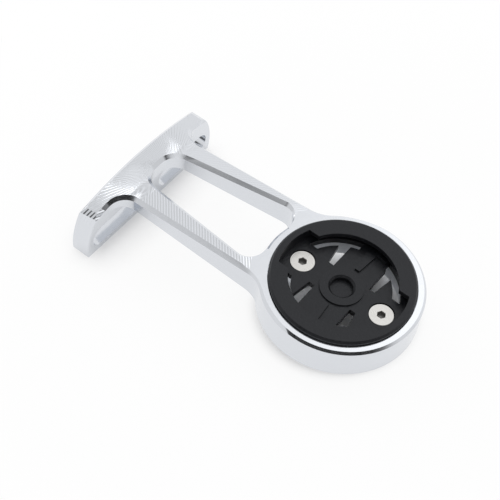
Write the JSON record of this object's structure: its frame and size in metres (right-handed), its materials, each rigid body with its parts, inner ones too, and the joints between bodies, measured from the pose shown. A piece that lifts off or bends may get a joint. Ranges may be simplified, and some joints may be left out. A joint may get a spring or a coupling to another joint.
{
  "type": "bicycle computer mount",
  "caption": "Out-front bicycle computer mount: a slotted bolting plate, two tapered arms and a ring that carries a black quarter-turn socket.",
  "frame": {"origin": "on the ring's axis, level with the ring's underside", "axes": "+Z along the ring's axis, out of the socket's mouth; +X from the bolting plate to the ring, the riding direction"},
  "size_m": [0.0823, 0.0478, 0.0202],
  "materials": {
    "machined_aluminium": "machined, satin",
    "black_plastic": "satin",
    "stainless_steel": "bright"
  },
  "bodies": {
    "root": {"mount_arm": "machined_aluminium", "quarter_turn_insert": "black_plastic", "screw_rear": "stainless_steel", "screw_front": "stainless_steel"}
  },
  "joints": []
}
